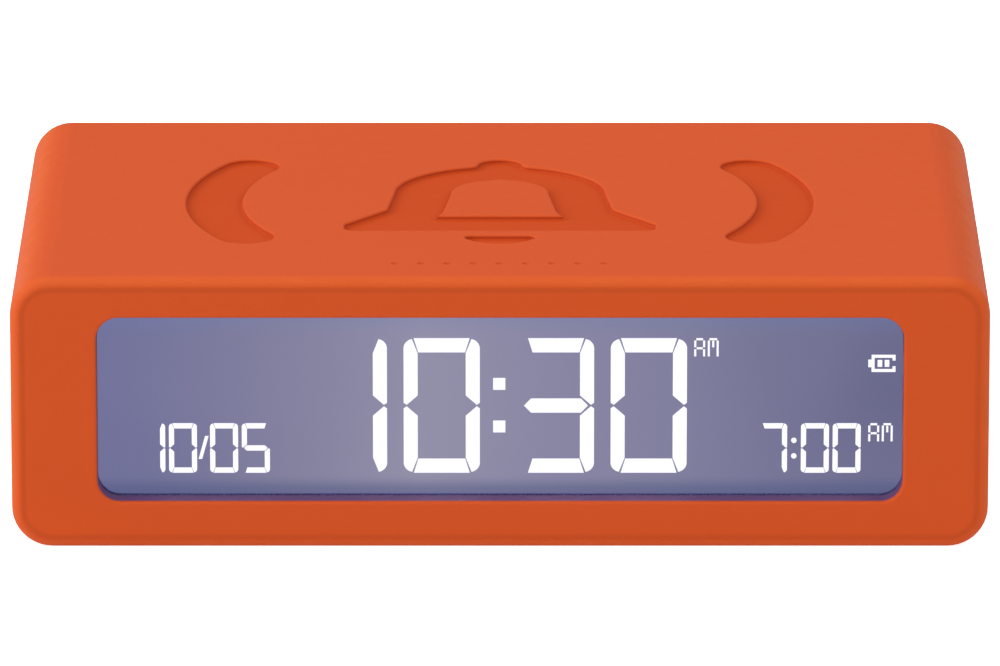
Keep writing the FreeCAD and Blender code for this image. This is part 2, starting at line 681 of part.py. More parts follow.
def half_day_mark(x, z, size):
    """The small A and M that mark the morning half of the day, as thin bars."""
    line = size * 0.11
    wide = size * 0.58
    letter_m = x + wide + size * 0.14
    mid = size / 2
    marks = []
    for side_x in (x, x + wide - line):
        marks += [bar_at(side_x, z, line, mid - line), bar_at(side_x, z + mid, line, mid - line * 1.2)]
    marks += [bar_at(x + line, z + size - line, wide - 2 * line, line),
             bar_at(x + line * 1.2, z + mid - line, wide - 2.4 * line, line)]
    marks += [bar_at(letter_m, z, line, size - line * 1.2),
              bar_at(letter_m + wide - line, z, line, size - line * 1.2),
              bar_at(letter_m + line * 0.8, z + size - line, wide - 1.6 * line, line),
              bar_at(letter_m + wide / 2 - line / 2, z + mid, line, mid - line * 1.3)]
    return marks


def battery_mark(x, z, width, height):
    """A small cell with its tip at the left and two bars of charge."""
    line = height * 0.17
    tip = width * 0.12
    marks = [bar_at(x, z + height * 0.28, tip, height * 0.44),
             bar_at(x + tip, z, line, height),
             bar_at(x + tip + line, z, width - tip - line, line),
             bar_at(x + tip + line, z + height - line, width - tip - line, line),
             bar_at(x + width - line, z + line, line, height * 0.16),
             bar_at(x + width - line, z + height - line - height * 0.16, line, height * 0.16)]
    for step in (0, 1):
        bar_x = x + tip + 2 * line + step * width * 0.26
        marks.append(bar_at(bar_x, z + height * 0.3, width * 0.17, height * 0.4))
    return marks


def slash(x, z, width, height, line):
    """The stroke between month and day."""
    return segment([(0, 0), (line, 0), (width, height), (width - line, height)], x, z, 1.0)


def lcd_segments():
    """Everything that is lit: the time in the middle, the date at the left, the alarm time at the right."""
    base_z = 5.61
    tall = 11.75
    pitch = 7.8
    lit = number("10", -15.9, base_z, tall, pitch) + number("30", 1.5, base_z, tall, pitch)
    colon = 1.03
    lit += [bar_at(-0.58, z, colon, colon) for z in (9.14, 12.86)]
    small = 4.33
    small_pitch = 2.67
    lit += number("10", -30.52, base_z, small, small_pitch)
    lit += number("05", -24.39, base_z, small, small_pitch)
    lit.append(slash(-25.36, 6.82, 0.85, 2.0, 0.3))
    lit += number("7", 21.79, base_z, small, small_pitch)
    lit += number("00", 25.31, base_z, small, small_pitch)
    dot_r = 0.23
    lit += [rod(24.72, z, dot_r, SEGMENT_Y, REAR_GLASS_Y) for z in (7.08, 8.44)]
    mark = 1.58
    lit += half_day_mark(16.3, base_z + tall - mark, mark)
    lit += half_day_mark(30.97, base_z + small - mark, mark)
    lit += battery_mark(30.92, 14.42, 2.29, 1.49)
    return Part.makeCompound(lit)


# ---------------------------------------------------------------- rear electronics
def rear_board():
    board = box(REAR_BOARD_X0, REAR_BOARD_X1, REAR_BOARD_Y, REAR_BOARD_BACK_Y,
                MID_Z - REAR_BOARD_H / 2, MID_Z + REAR_BOARD_H / 2)
    board = board.cut(box(USB_X - 4.7, REAR_BOARD_X1 + 1, REAR_BOARD_Y - 1, REAR_BOARD_BACK_Y + 1,
                          MID_Z - 1.9, MID_Z + 1.9))
    for x in POST_XS:
        for side in (-1, 1):
            board = board.cut(rod(x, MID_Z + side * POST_RISE, 0.9, REAR_BOARD_Y - 1, REAR_BOARD_BACK_Y + 1))
    return board


def rear_board_screws():
    screws = []
    for x in POST_XS:
        for side in (-1, 1):
            screws.append(tapping_screw(x, MID_Z + side * POST_RISE, REAR_BOARD_Y, -1, *REAR_BOARD_SCREW))
    return Part.makeCompound(screws)


def rear_board_parts():
    parts = [(-4.0, 2.0, 3.0, 3.0, 0.9), (1.0, 3.5, 1.6, 0.8, 0.6), (1.0, 1.5, 1.6, 0.8, 0.6)]
    parts += [(-9.0, 4.0, 2.0, 1.2, 0.8), (-9.0, 1.5, 2.0, 1.2, 0.8), (1.5, -2.5, 2.8, 2.8, 1.2)]
    return chip_group(parts, REAR_BOARD_Y, -1)


def tact_switch_bases():
    """Square switch bodies, each with a well for its plunger that is deep enough for the button's travel."""
    bases = []
    hole_y = PLUNGER_FOOT_Y - BUTTON_TRAVEL - 0.1
    for x in button_xs():
        base = block(x, MID_Z, TACT_BODY, TACT_BODY, REAR_BOARD_BACK_Y, REAR_BOARD_BACK_Y + TACT_T)
        bases.append(base.cut(rod(x, MID_Z, PLUNGER_R + 0.1, hole_y, COVER_IN_Y)))
    return Part.makeCompound(bases)


def tact_plunger(x):
    return rod(x, MID_Z, PLUNGER_R, PLUNGER_FOOT_Y, PLUNGER_TIP_Y)


def push_button(x, sign):
    """A key that stands through the rear cover, with a flange inside it and a stem on the switch."""
    flange_y = COVER_IN_Y - GAP
    cap = pill(BUTTON_W, BUTTON_H, flange_y - 0.4, BUTTON_FACE_Y, x)
    front = edges_where(cap, lambda p: abs(p.y - BUTTON_FACE_Y) < 1e-6)
    cap = cap.makeFillet(0.3, front)
    flange = pill(BUTTON_W + 1.4, BUTTON_H + 1.4, flange_y - 0.8, flange_y, x)
    stem = rod(x, MID_Z, 1.4, PLUNGER_TIP_Y, flange_y - 0.4)
    key = cap.fuse([flange, stem]).removeSplitter()
    for mark in sign(x):
        key = key.cut(mark)
    return key


def engraved(shape_2d, x):
    """A flat sign, drawn as seen from behind the clock, cut into a key's face."""
    shape_2d.rotate(Vec(0, 0, 0), Vec(1, 0, 0), 90)
    shape_2d.rotate(Vec(0, 0, 0), Vec(0, 0, 1), 180)
    shape_2d.translate(Vec(x, BUTTON_FACE_Y - BUTTON_SIGN, MID_Z))
    return shape_2d.extrude(Vec(0, 1, 0))


def plus_sign(x):
    return [engraved(stadium(2.0, 0.4, turn), x) for turn in (0, 90)]


def minus_sign(x):
    return [engraved(stadium(2.0, 0.4, 0), x)]


def clock_sign(x):
    """A dial with two hands."""
    ring = disc(0, 0, 1.25).cut(disc(0, 0, 0.95))
    hands = polygon([(-0.12, -0.12), (0.5, -0.12), (0.5, 0.12), (0.12, 0.12), (0.12, 0.7), (-0.12, 0.7)])
    return [engraved(ring, x), engraved(hands, x)]


def alarm_sign(x):
    """A small plain bell."""
    bell = polygon([(-1.1, -0.7), (1.1, -0.7), (0.75, -0.2), (0.75, 0.4), (-0.75, 0.4), (-0.75, -0.2)])
    bell = bell.fuse(disc(0, 0.4, 0.75)).removeSplitter()
    return [engraved(bell, x), engraved(disc(0, -1.05, 0.22), x)]


def usb_shell():
    outer = pill(USB_W, USB_H, REAR_BOARD_Y - 1.6, COVER_OUT_Y - 0.2, USB_X)
    inner_w = USB_W - 2 * USB_WALL
    inner_h = USB_H - 2 * USB_WALL
    return outer.cut(pill(inner_w, inner_h, REAR_BOARD_Y - 1.3, COVER_OUT_Y + 1, USB_X))


def usb_tongue():
    inside = USB_WALL + 0.03
    base = pill(USB_W - 2 * inside, USB_H - 2 * inside, REAR_BOARD_Y - 1.28, REAR_BOARD_Y - 0.2, USB_X)
    tongue = slab(6.7, 0.7, 0.2, REAR_BOARD_Y - 0.3, COVER_OUT_Y - 0.9, x=USB_X)
    return base.fuse(tongue)


# ---------------------------------------------------------------- ball tilt switch
TILT_Y = REAR_BOARD_Y - 2.6
TILT_Z0 = MID_Z - 3.75
TILT_H = 7.2
CAN_R = 2.1
CAN_WALL = 0.3
PIN_R = 0.25
PIN_X = 0.8
PIN_TOP_Z = TILT_Z0 + 1.9
BALL_Z = PIN_TOP_Z + math.sqrt(BALL_R ** 2 - (PIN_X - PIN_R) ** 2) + 0.02


def upright(x, radius, z0, z1):
    return Part.makeCylinder(radius, z1 - z0, Vec(x, TILT_Y, z0), Vec(0, 0, 1))


def tilt_switch_can():
    outer = upright(TILT_X, CAN_R, TILT_Z0, TILT_Z0 + TILT_H)
    return outer.cut(upright(TILT_X, CAN_R - CAN_WALL, TILT_Z0 - 1, TILT_Z0 + TILT_H - CAN_WALL))


def tilt_switch_plug():
    plug = upright(TILT_X, CAN_R - CAN_WALL - 0.02, TILT_Z0, TILT_Z0 + 1.4)
    for side in (-1, 1):
        plug = plug.cut(upright(TILT_X + side * PIN_X, PIN_R + 0.01, TILT_Z0 - 1, TILT_Z0 + 3))
    return plug


def tilt_switch_pins():
    pins = []
    for side in (-1, 1):
        x = TILT_X + side * PIN_X
        foot_z = TILT_Z0 - 0.9
        post = upright(x, PIN_R, foot_z, PIN_TOP_Z)
        foot = rod(x, foot_z, PIN_R, TILT_Y, REAR_BOARD_Y)
        pins.append(post.fuse([foot, Part.makeSphere(PIN_R, Vec(x, TILT_Y, foot_z))]))
    return Part.makeCompound(pins)


def tilt_switch_ball():
    return Part.makeSphere(BALL_R, Vec(TILT_X, TILT_Y, BALL_Z))


# ---------------------------------------------------------------- speaker
def speaker_gasket():
    ring = rod(SPEAKER_X, MID_Z, SPEAKER_R, COVER_IN_Y - 0.4, COVER_IN_Y)
    return ring.cut(rod(SPEAKER_X, MID_Z, SPEAKER_R - 0.8, COVER_IN_Y - 1, COVER_IN_Y + 1))


BASKET_Y = COVER_IN_Y - 3.6


def speaker_basket():
    cup = rod(SPEAKER_X, MID_Z, SPEAKER_R, BASKET_Y, COVER_IN_Y - 0.4)
    return cup.cut(rod(SPEAKER_X, MID_Z, SPEAKER_R - 0.5, BASKET_Y + 0.6, COVER_IN_Y))


def speaker_magnet():
    magnet = rod(SPEAKER_X, MID_Z, 4.6, BASKET_Y - 2.0, BASKET_Y)
    return magnet.makeFillet(0.3, edges_where(magnet, lambda p: abs(p.y - BASKET_Y + 2.0) < 1e-6))


def speaker_cone():
    """A shallow paper cone with a domed centre, a quarter of a millimetre thick."""
    rim_y = COVER_IN_Y - 1.0
    rim_r = SPEAKER_R - 0.55
    neck_r = 2.6
    neck_y = rim_y - 1.2
    sheet = 0.25
    rim_in = Vec(rim_r, rim_y, 0)
    neck = Vec(neck_r, neck_y, 0)
    dome = 0.9
    dome_r = (neck_r ** 2 + dome ** 2) / (2 * dome)
    half_x = neck_r * 0.6
    crown = Vec(0, neck_y + dome, 0)
    half_way = Vec(half_x, neck_y + dome - dome_r + math.sqrt(dome_r ** 2 - half_x ** 2), 0)
    lift = Vec(0, sheet, 0)
    edges = [Part.makeLine(rim_in, neck), Part.Arc(neck, half_way, crown).toShape(),
             Part.makeLine(crown, crown + lift),
             Part.Arc(crown + lift, half_way + lift, neck + lift).toShape(),
             Part.makeLine(neck + lift, rim_in + lift), Part.makeLine(rim_in + lift, rim_in)]
    cone = Part.Face(Part.Wire(edges)).revolve(Vec(0, 0, 0), Vec(0, 1, 0), 360)
    cone.translate(Vec(SPEAKER_X, 0, MID_Z))
    return cone


def speaker_leads():
    """Two short wires in a bend from the speaker's back to the rear board."""
    wires = []
    for rise in (4.6, 6.0):
        z = MID_Z + rise
        points = [(SPEAKER_X - 2.2, BASKET_Y, z), (SPEAKER_X - 3.2, BASKET_Y - 2.2, z),
                  (SPEAKER_X - 6.4, BASKET_Y - 3.6, z), (REAR_BOARD_X1 - 1.9, REAR_BOARD_Y - 1.9, z),
                  (REAR_BOARD_X1 - 2.6, REAR_BOARD_Y, z)]
        wires.append(swept_wire(points, 0.35, -1, 1))
    return Part.makeCompound(wires)


# ---------------------------------------------------------------- power, cables and touch foils
def battery_cell():
    cell = box(-BATTERY_W / 2, BATTERY_W / 2, BATTERY_Y0, BATTERY_Y1, BATTERY_Z, BATTERY_Z + BATTERY_T)
    long_edges = [e for e in cell.Edges if e.BoundBox.YLength > 1]
    return cell.makeFillet(1.6, long_edges)


def battery_pad():
    inset = 3.0
    return box(-BATTERY_W / 2 + inset, BATTERY_W / 2 - inset, BATTERY_Y0 + inset, BATTERY_Y1 - inset,
               BATTERY_Z - PAD_T, BATTERY_Z)


BATTERY_PLUG_X = -13.0
BATTERY_PLUG_Z = BATTERY_Z + BATTERY_T / 2
BATTERY_SOCKET_T = 3.2
BATTERY_PLUG_Y = REAR_BOARD_Y - 4.2


def battery_plug():
    return block(BATTERY_PLUG_X, BATTERY_PLUG_Z, 5.0, 3.4, BATTERY_PLUG_Y, REAR_BOARD_Y - 0.8)


def battery_socket():
    """A box on the rear board that the plug slides into."""
    shell = block(BATTERY_PLUG_X, BATTERY_PLUG_Z, 6.2, 4.4, REAR_BOARD_Y - BATTERY_SOCKET_T, REAR_BOARD_Y)
    return shell.cut(block(BATTERY_PLUG_X, BATTERY_PLUG_Z, 5.1, 3.5, REAR_BOARD_Y - 5, REAR_BOARD_Y - 0.7))


def battery_lead(side):
    """One wire from the cell to its plug."""
    x = BATTERY_PLUG_X + side * 0.9
    middle = (x + side * 0.4, (BATTERY_Y1 + BATTERY_PLUG_Y) / 2, BATTERY_PLUG_Z + 1.1)
    points = [(x, BATTERY_Y1, BATTERY_PLUG_Z), middle, (x, BATTERY_PLUG_Y, BATTERY_PLUG_Z)]
    return swept_wire(points, 0.45, 1, 1)


def ribbon_connectors():
    ends = [(BOARD_BACK_Y, BOARD_BACK_Y + CONNECTOR_T), (REAR_BOARD_Y - CONNECTOR_T, REAR_BOARD_Y)]
    return Part.makeCompound([block(RIBBON_X, RIBBON_Z, RIBBON_W + 2, 2.6, y0, y1) for y0, y1 in ends])


def ribbon_cable():
    """A flat cable that rises in a low arch over the cell."""
    y0 = BOARD_BACK_Y + CONNECTOR_T
    y1 = REAR_BOARD_Y - CONNECTOR_T
    span = y1 - y0
    lift = 3.4
    shares = (0.0, 0.08, 0.5, 0.92, 1.0)
    heights = (0.0, 0.18, lift, 0.18, 0.0)

    def edge_curve(shift):
        curve = Part.BSplineCurve()
        curve.interpolate([Vec(0, y0 + s * span, RIBBON_Z + h + shift) for s, h in zip(shares, heights)])
        return curve.toShape()

    lower = edge_curve(-RIBBON_T / 2)
    upper = edge_curve(RIBBON_T / 2)
    half = Vec(0, 0, RIBBON_T / 2)
    middles = [Vec(0, y, RIBBON_Z) for y in (y0, y1)]
    ends = [Part.makeLine(middle - half, middle + half) for middle in middles]
    strip = Part.Face(Part.Wire(Part.__sortEdges__([lower, ends[1], upper, ends[0]])))
    strip.translate(Vec(RIBBON_X - RIBBON_W / 2, 0, 0))
    return strip.extrude(Vec(RIBBON_W, 0, 0))


def touch_foil(side):
    """Copper foil glued to the ceiling (side 1) or the floor (-1), under the recessed sign."""
    near = MID_Z + side * (ROOM_H / 2 - FOIL_GLUE)
    far = near - side * FOIL_T
    return box(-FOIL_W / 2, FOIL_W / 2, -FOIL_D / 2, FOIL_D / 2, min(near, far), max(near, far))


def touch_lead(side):
    """A wire from a touch foil to the display board."""
    radius = 0.35
    foil_z = MID_Z + side * (ROOM_H / 2 - FOIL_GLUE - FOIL_T - radius - 0.02)
    x = 16.0
    joint_y = BATTERY_Y0 - 0.4
    half_way = (joint_y + BOARD_BACK_Y) / 2
    sag = 1.1
    points = [(x, joint_y, foil_z), (x, half_way, foil_z - side * sag)]
    points.append((x, BOARD_BACK_Y, foil_z - side * 2 * sag))
    return swept_wire(points, radius, -1, -1)


# ---------------------------------------------------------------- every node and its shape
def all_parts():
    parts = {
        "rubber_sleeve": rubber_sleeve(),
        "inner_case": inner_case(),
        "rear_cover": rear_cover(),
        "rear_cover_screws": rear_cover_screws(),
        "display_window": display_window(),
        "window_tape": window_ring(TAPE_Y, FLANGE_Y),
        "dust_gasket": window_ring(GASKET_Y, FRONT_POLARISER_Y),
        "lcd_front_polariser": layer(CELL_W, FRONT_POLARISER_Y, FRONT_GLASS_Y),
        "lcd_front_glass": layer(GLASS_W, FRONT_GLASS_Y, SEGMENT_Y),
        "lcd_segments": lcd_segments(),
        "lcd_edge_seal": lcd_edge_seal(),
        "lcd_rear_glass": layer(CELL_W, REAR_GLASS_Y, REAR_POLARISER_Y),
        "lcd_rear_polariser": layer(CELL_W, REAR_POLARISER_Y, DIFFUSER_Y),
        "diffuser_sheet": layer(CELL_W, DIFFUSER_Y, GUIDE_Y),
        "light_guide": light_guide(),
        "reflector_sheet": layer(CELL_W, REFLECTOR_Y, TRAY_BACK_Y),
        "backlight_leds": backlight_leds(),
        "backlight_strip": backlight_strip(),
        "lcd_frame": lcd_frame(),
        "zebra_strips": zebra_strips(),
        "display_board": display_board(),
        "display_board_screws": display_board_screws(),
        "controller_blob": controller_blob(),
        "clock_crystal": clock_crystal(),
        "display_board_parts": display_board_parts(),
        "ribbon_connectors": ribbon_connectors(),
        "ribbon_cable": ribbon_cable(),
        "rear_board": rear_board(),
        "rear_board_screws": rear_board_screws(),
        "rear_board_parts": rear_board_parts(),
        "tact_switch_bases": tact_switch_bases(),
        "usb_shell": usb_shell(),
        "usb_tongue": usb_tongue(),
        "tilt_switch_can": tilt_switch_can(),
        "tilt_switch_plug": tilt_switch_plug(),
        "tilt_switch_pins": tilt_switch_pins(),
        "tilt_switch_ball": tilt_switch_ball(),
        "speaker_gasket": speaker_gasket(),
        "speaker_basket": speaker_basket(),
        "speaker_magnet": speaker_magnet(),
        "speaker_cone": speaker_cone(),
        "speaker_leads": speaker_leads(),
        "battery_cell": battery_cell(),
        "battery_pad": battery_pad(),
        "battery_plug": battery_plug(),
        "battery_socket": battery_socket(),
        "battery_lead_red": battery_lead(-1),
        "battery_lead_black": battery_lead(1),
        "touch_foil_upper": touch_foil(1),
        "touch_foil_lower": touch_foil(-1),
        "touch_lead_upper": touch_lead(1),
        "touch_lead_lower": touch_lead(-1),
    }
    signs = (clock_sign, alarm_sign, minus_sign, plus_sign)
    for name, x, sign in zip(BUTTONS, button_xs(), signs):
        parts[name] = push_button(x, sign)
        parts[name.replace("button", "plunger")] = tact_plunger(x)
    return parts


os.makedirs("parts", exist_ok=True)
for node, shape in all_parts().items():
    shape.exportStep(f"parts/{node}.step")
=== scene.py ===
import math

import bpy
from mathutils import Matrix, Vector


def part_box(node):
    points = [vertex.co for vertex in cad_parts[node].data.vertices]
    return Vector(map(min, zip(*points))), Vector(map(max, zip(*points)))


# A reversible travel alarm clock on a pale floor. Lengths are in metres, in the model's own frame: +X to the
# right, +Y from the display to the rear, +Z up.

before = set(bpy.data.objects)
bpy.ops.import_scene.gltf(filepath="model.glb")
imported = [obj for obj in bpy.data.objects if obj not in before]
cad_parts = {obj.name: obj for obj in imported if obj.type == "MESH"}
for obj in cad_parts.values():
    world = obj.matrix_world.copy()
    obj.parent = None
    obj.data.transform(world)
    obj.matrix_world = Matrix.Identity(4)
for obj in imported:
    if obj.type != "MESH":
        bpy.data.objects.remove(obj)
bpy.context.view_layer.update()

MM = 0.001
LOW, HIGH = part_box("rubber_sleeve")
MIDDLE = (LOW + HIGH) / 2
HALF = HIGH - MIDDLE
SIGN_DEPTH = 0.42 * MM          # how far the signs are sunk into the top and bottom
SIGN_HALF_X = 29 * MM           # a box round each sign, which holds no other edge of the sleeve
SIGN_HALF_Y = 19 * MM
RIM_EDGE = 1.0 * MM             # rounding round the front and rear
RIM_CORNER = 2.4 * MM           # corners of the flat front inside that rounding
RIM_SHADE_WIDTH = 0.4 * MM             # half the width of the darker line of painted shade along that rounding's inner edge
RIM_REACH = 1.2 * MM            # how far the wear and painted highlight spread from the front and rear edges
CORNER_REACH = 2.6 * MM         # how far it spreads from the four long edges

CAMERA_ELEVATION = math.radians(15.55)
CAMERA_DISTANCE = 0.959
CAMERA_LENS = 401.3
CAMERA_AIM = Vector((0, 0, 11.42 * MM))
CAMERA_FAR = 20                 # nothing in the scene is farther from the camera than this

FLOOR_HALF = 4.0                # the floor reaches this far each way
FLOOR_DROP = 0.02 * MM          # and lies this far under the clock, so that their faces don't meet
FLOOR_FADE = 8 * MM             # the brighter glow under the clock fades out this far beyond it
FLOOR_GLOW = 0.1                # how strongly the floor lights the clock
UNDER_GLOW = 0.22               # and how strongly it does so under the clock
SEEN_GLOW = 0.8                 # how strongly it glows as the camera sees it
SKY_HORIZON = 0.3               # brightness of the surroundings low down
SKY_OVERHEAD = 1.22             # and overhead
SKY_BEHIND = 0.35               # the share of that which is left straight behind the clock
SOFTBOXES = {                   # place, side length and power in watts of each
    "key": (Vector((-1.0, -0.12, 0.34)), 0.7, 5.7),
    "front": (Vector((-0.35, -0.6, 1.05)), 0.7, 3.0),
    "fill": (Vector((1.0, -0.1, 0.4)), 0.6, 0.9),
}


def linear(red, green, blue):
    """A colour in the usual 0 to 255 steps, as the linear values that shaders use."""
    def one(step):
        share = step / 255
        return share / 12.92 if share <= 0.04045 else ((share + 0.055) / 1.055) ** 2.4

    return (one(red), one(green), one(blue), 1.0)


def scaled(colour, factor):
    """The colour made darker or lighter."""
    return tuple(channel * factor for channel in colour[:3]) + (1.0,)


def paler(colour):
    """The colour a third of the way to white."""
    return tuple(channel + (1 - channel) * 0.33 for channel in colour[:3]) + (1.0,)


# ---------------------------------------------------------------- building materials
class Finish:
    """One material, built node by node. Texture sizes and bump heights are in millimetres."""

    def __init__(self, name):
        self.material = bpy.data.materials.new(name)
        self.material.use_nodes = True
        self.nodes = self.material.node_tree.nodes
        self.nodes.clear()
        self.place = self.add("TexCoord").outputs["Object"]
        parts = self.add("SeparateXYZ", Vector=self.place)
        self.x, self.y, self.z = parts.outputs

    def put(self, socket, value):
        if isinstance(value, bpy.types.NodeSocket):
            self.material.node_tree.links.new(value, socket)
        elif value is not None:
            socket.default_value = value

    def add(self, kind, settings=None, **inputs):
        """A node of this kind. Inputs are named with _ for a space."""
        node = self.nodes.new("ShaderNode" + kind)
        for name, value in (settings or {}).items():
            setattr(node, name, value)
        for name, value in inputs.items():
            self.put(node.inputs[name.replace("_", " ")], value)
        return node

    def math(self, operation, a, b=None):
        node = self.add("Math", {"operation": operation})
        self.put(node.inputs[0], a)
        self.put(node.inputs[1], b)
        return node.outputs[0]

    def step(self, value, low, high, to_low=0.0, to_high=1.0):
        """Smoothly from to_low to to_high as the value runs from low to high."""
        node = self.add("MapRange", {"interpolation_type": "SMOOTHSTEP"}, Value=value, From_Min=low,
                        From_Max=high, To_Min=to_low, To_Max=to_high)
        return node.outputs[0]

    def noise(self, size, detail=2.0, stretch=None):
        """Cloudy values from 0 to 1 with features of this size, drawn out along the axes by stretch."""
        place = self.place
        if stretch:
            place = self.add("Mapping", Vector=place, Scale=stretch).outputs[0]
        node = self.add("TexNoise", Vector=place, Scale=1 / (size * MM), Detail=detail)
        return node.outputs[0]

    def cells(self, size, feature="F1"):
        """Distance to scattered points this far apart, as a share of the spacing."""
        node = self.add("TexVoronoi", {"feature": feature}, Vector=self.place, Scale=1 / (size * MM))
        return node.outputs["Distance"]

    def bands(self, pitch, axis, blur=0.0):
        """Stripes across an axis, from 0 to 1 and back once in each pitch."""
        node = self.add("TexWave", {"bands_direction": axis}, Vector=self.place,
                        Scale=2 * math.pi / 20 / (pitch * MM), Distortion=blur)
        return node.outputs[1]

    def off(self, coordinate, centre):
        """How far a coordinate is from the centre, on either side of it."""
        return self.math("ABSOLUTE", self.math("SUBTRACT", coordinate, centre))

    def blend(self, mask, a, b, share=1.0):
        """Colour a where the mask is 0, with this share of colour b where it is 1."""
        if share < 1.0:
            mask = self.math("MULTIPLY", mask, share)
        node = self.add("Mix", {"data_type": "RGBA"})
        self.put(node.inputs[0], mask)
        self.put(node.inputs[6], a)
        self.put(node.inputs[7], b)
        return node.outputs[2]

    def mottled(self, colour, amount, size):
        """The colour, unevenly darker and lighter by this share in patches of this size."""
        return self.blend(self.noise(size, 3), scaled(colour, 1 - amount), scaled(colour, 1 + amount))

    def bump(self, height, depth, under=None):
        return self.add("Bump", Height=height, Distance=depth * MM, Strength=1.0, Normal=under).outputs[0]

    def mix(self, mask, a, b):
        """Shader a where the mask is 0, shader b where it is 1."""
        node = self.add("MixShader", Fac=mask)
        self.put(node.inputs[1], a)
        self.put(node.inputs[2], b)
        return node.outputs[0]

    def show(self, shader):
        self.put(self.add("OutputMaterial").inputs["Surface"], shader)
        return self.material

    def glowing(self, colour, strength):
        """Finishes the material as a surface that only gives light."""
        return self.show(self.add("Emission", Color=colour, Strength=strength).outputs[0])

    def surface(self, **inputs):
        """Finishes the material as one principled surface."""
        return self.show(self.add("BsdfPrincipled", **inputs).outputs[0])


def near_end(finish, coordinate, centre, half, reach):
    """1 where a coordinate meets the end of its range, falling to 0 this far inside it."""
    return finish.step(finish.off(coordinate, centre), half - reach, half)


def sleeve_wear_and_highlight(finish):
    """1 along the sleeve's rounded outer edges and 0 on its open faces, broken up by noise: rubbed wear that
    also serves as a painted highlight along those edges.
    """
    near_x = near_end(finish, finish.x, MIDDLE.x, HALF.x, CORNER_REACH)
    near_z = near_end(finish, finish.z, MIDDLE.z, HALF.z, CORNER_REACH)
    corner = finish.math("MULTIPLY", near_x, near_z)
    rim_x = near_end(finish, finish.x, MIDDLE.x, HALF.x, RIM_REACH)
    rim_y = near_end(finish, finish.y, MIDDLE.y, HALF.y, RIM_REACH)
    rim_z = near_end(finish, finish.z, MIDDLE.z, HALF.z, RIM_REACH)
    rim = finish.math("MULTIPLY", finish.math("MULTIPLY", rim_y, 0.5), finish.math("MAXIMUM", rim_x, rim_z))
    patchy = finish.step(finish.noise(2.5, 4), 0.2, 0.8, 0.5, 1.0)
    return finish.math("MULTIPLY", finish.math("MAXIMUM", corner, rim), patchy)


def edge_wear(finish, reach):
    """1 along a piece's own edges, falling to 0 this many millimetres away, broken up by noise."""
    rounded = finish.add("Bevel", {"samples": 6}, Radius=reach * MM).outputs[0]
    alike = finish.add("VectorMath", {"operation": "DOT_PRODUCT"})
    finish.put(alike.inputs[0], rounded)
    finish.put(alike.inputs[1], finish.add("NewGeometry").outputs["Normal"])
    edge = finish.step(alike.outputs["Value"], 0.75, 0.98, 1.0, 0.0)
    return finish.math("MULTIPLY", edge, finish.step(finish.noise(0.8, 4), 0.3, 0.7))


def groove_shade(finish, reach, open_share=0.85):
    """Painted shade: 1 deep inside grooves about this many millimetres wide, 0 where this share of the
    outside is seen.
    """
    shelter = finish.add("AmbientOcclusion", {"samples": 8, "only_local": True}, Distance=reach * MM)
    return finish.step(shelter.outputs["AO"], open_share - 0.5, open_share, 1.0, 0.0)


# ---------------------------------------------------------------- casing materials
ORANGE = linear(207, 79, 24)
# Sign floors: a darker orange, painted shade in the recesses.
SIGN_FLOOR_SHADE = linear(197, 69, 14)
# Paler rubbed orange; on the sleeve's rounded edges it also serves as a painted highlight.
WORN_ORANGE = linear(226, 124, 46)
# Dark orange painted into grooves as shade.
GROOVE_SHADE_ORANGE = linear(150, 38, 6)


def soft_touch(finish, base, worn, specular=0.2):
    """Matte rubber with a powdery skin, rubbed a little smoother where it is worn."""
    speckle = finish.step(finish.noise(0.12, 2), 0.35, 0.65, 0.0, 0.04)
    base = finish.blend(speckle, base, scaled(ORANGE, 0.6))
    rough = finish.step(finish.noise(1.5, 4), 0.3, 0.7, 0.65, 0.69)
    rough = finish.math("SUBTRACT", rough, finish.math("MULTIPLY", worn, 0.12))
    grain = finish.bump(finish.noise(0.09, 3), 0.004)
    return finish.surface(Base_Color=base, Roughness=rough, Normal=grain, Specular_IOR_Level=specular,
                          Sheen_Weight=0.02)


def sleeve_rubber():
    """The sleeve: paler along its rubbed edges, from wear and a painted highlight; darker inside the signs
    and along the inner edge of its front and rear rounding, as painted shade; and duller inside the signs.
    """
    finish = Finish("soft_rubber")
    worn = sleeve_wear_and_highlight(finish)
    base = finish.mottled(ORANGE, 0.012, 18)
    # Paler rounded edges: rubbed wear together with a painted highlight.
    base = finish.blend(worn, base, WORN_ORANGE, 0.45)
    # A thin darker line of painted shade where the rounding meets the flat front and rear.
    base = finish.blend(painted_rim_shade(finish), base, scaled(ORANGE, 0.8), 0.6)
    floors = sunk(finish)
    # Sign floors darkened as painted shade.
    base = finish.blend(floors, base, finish.mottled(SIGN_FLOOR_SHADE, 0.02, 6))
    # Painted shade at the foot of the sign walls and in other narrow grooves.
    base = finish.blend(groove_shade(finish, 0.9, 0.98), base, GROOVE_SHADE_ORANGE, 0.7)
    return soft_touch(finish, base, worn, finish.step(floors, 0.0, 1.0, 0.2, 0.08))


def key_rubber():
    """The keys: a slightly deeper orange, paler round their rims, with painted shade in the engraved signs.
    """
    finish = Finish("key_rubber")
    worn = edge_wear(finish, 0.35)
    base = finish.mottled(scaled(ORANGE, 0.92), 0.02, 6)
    base = finish.blend(worn, base, WORN_ORANGE, 0.4)
    # Painted shade in the engraved signs.
    base = finish.blend(groove_shade(finish, 0.6), base, scaled(GROOVE_SHADE_ORANGE, 0.7), 0.8)
    return soft_touch(finish, base, worn)


